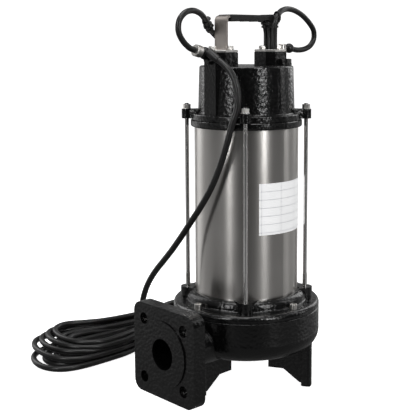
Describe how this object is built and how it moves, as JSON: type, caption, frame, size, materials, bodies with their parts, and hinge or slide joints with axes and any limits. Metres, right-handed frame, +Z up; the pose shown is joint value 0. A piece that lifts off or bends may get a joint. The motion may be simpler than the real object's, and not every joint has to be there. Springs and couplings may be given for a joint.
{
  "type": "submersible sewage pump",
  "caption": "Submersible pump with a stainless motor jacket, iron volute on legs, square side outlet flange, strap handle, looped leads and a supply cable hank.",
  "frame": {"origin": "centre of the pump's footprint box on the floor, measured without the loose supply cable; the shaft axis stands 9.7 mm towards +Y from it", "axes": "+Z up along the shaft; the outlet flange faces -Y; the handle lies along Y"},
  "size_m": [0.4513, 0.3764, 0.5642],
  "materials": {
    "black_cast_iron": "gloss black hammer paint",
    "bare_cast_iron": "machined",
    "stainless": "brushed",
    "polished_stainless": "polished",
    "shaft_steel": "ground",
    "lamination": "laminated steel",
    "copper": "varnished",
    "aluminium": "cast",
    "brass": "machined",
    "black_rubber": "satin",
    "black_plastic": "fine texture",
    "white_label": "printed film",
    "pale_plastic": "moulded"
  },
  "bodies": {
    "pump": {"cable_strain_relief": "black_rubber", "cable_ties": "black_plastic", "capacitor_clamp": "stainless", "flange_bolts": "stainless", "handle_grip": "black_plastic", "handle_strap": "stainless", "jacket_upper_o_ring": "black_rubber", "left_box_lid": "polished_stainless", "left_cable_boot": "black_rubber", "left_lead_collar": "polished_stainless", "left_loop_lead": "black_rubber", "lid_bolts": "polished_stainless", "lid_gaskets": "black_rubber", "lower_bearing_outer_ring": "shaft_steel", "lower_end_winding": "copper", "lower_motor_housing": "black_cast_iron", "motor_jacket": "stainless", "nameplate": "white_label", "oil_chamber_cover": "bare_cast_iron", "oil_cover_o_ring": "black_rubber", "oil_cover_screws": "stainless", "oil_drain_plug": "brass", "oil_lip_seal": "black_rubber", "plug_pins": "brass", "right_box_lid": "polished_stainless", "right_cable_boot": "black_rubber", "right_gland_elbow": "polished_stainless", "right_loop_lead": "black_rubber", "right_middle_lead": "black_rubber", "right_short_lead": "black_rubber", "run_capacitor": "pale_plastic", "seal_fixed_seat": "bare_cast_iron", "stator_core": "lamination", "stator_slot_coils": "copper", "suction_wear_ring": "brass", "supply_cable": "black_rubber", "supply_cable_hank": "black_rubber", "supply_plug": "black_rubber", "terminal_block": "pale_plastic", "tie_rod_nuts": "polished_stainless", "tie_rods": "polished_stainless", "top_cover": "black_cast_iron", "upper_bearing_bracket": "black_cast_iron", "upper_bearing_outer_ring": "shaft_steel", "upper_end_winding": "copper", "vent_plug": "black_plastic", "volute_casing": "black_cast_iron"},
    "rotor": {"bearing_retaining_clip": "shaft_steel", "impeller": "bare_cast_iron", "impeller_bolt": "stainless", "impeller_key": "shaft_steel", "lower_bearing_inner_ring": "shaft_steel", "rotor_core": "lamination", "rotor_end_rings": "aluminium", "rotor_shaft": "shaft_steel", "seal_rotating_ring": "bare_cast_iron", "seal_spring": "stainless", "upper_bearing_inner_ring": "shaft_steel"},
    "lower_balls": {"lower_bearing_balls": "shaft_steel"},
    "upper_balls": {"upper_bearing_balls": "shaft_steel"}
  },
  "joints": [
    {"name": "rotor_spin", "type": "hinge", "parent": "pump", "child": "rotor", "pos_m": [0, 0.0097, 0.1], "axis": [0, 0, 1], "continuous": true},
    {"name": "lower_balls_orbit", "type": "hinge", "parent": "pump", "child": "lower_balls", "pos_m": [0, 0.0097, 0.157], "axis": [0, 0, 1], "continuous": true},
    {"name": "upper_balls_orbit", "type": "hinge", "parent": "pump", "child": "upper_balls", "pos_m": [0, 0.0097, 0.373], "axis": [0, 0, 1], "continuous": true}
  ],
  "couplings": [
    {"joint": "lower_balls_orbit", "follows": "rotor_spin", "ratio": 0.3836},
    {"joint": "upper_balls_orbit", "follows": "rotor_spin", "ratio": 0.3842}
  ]
}
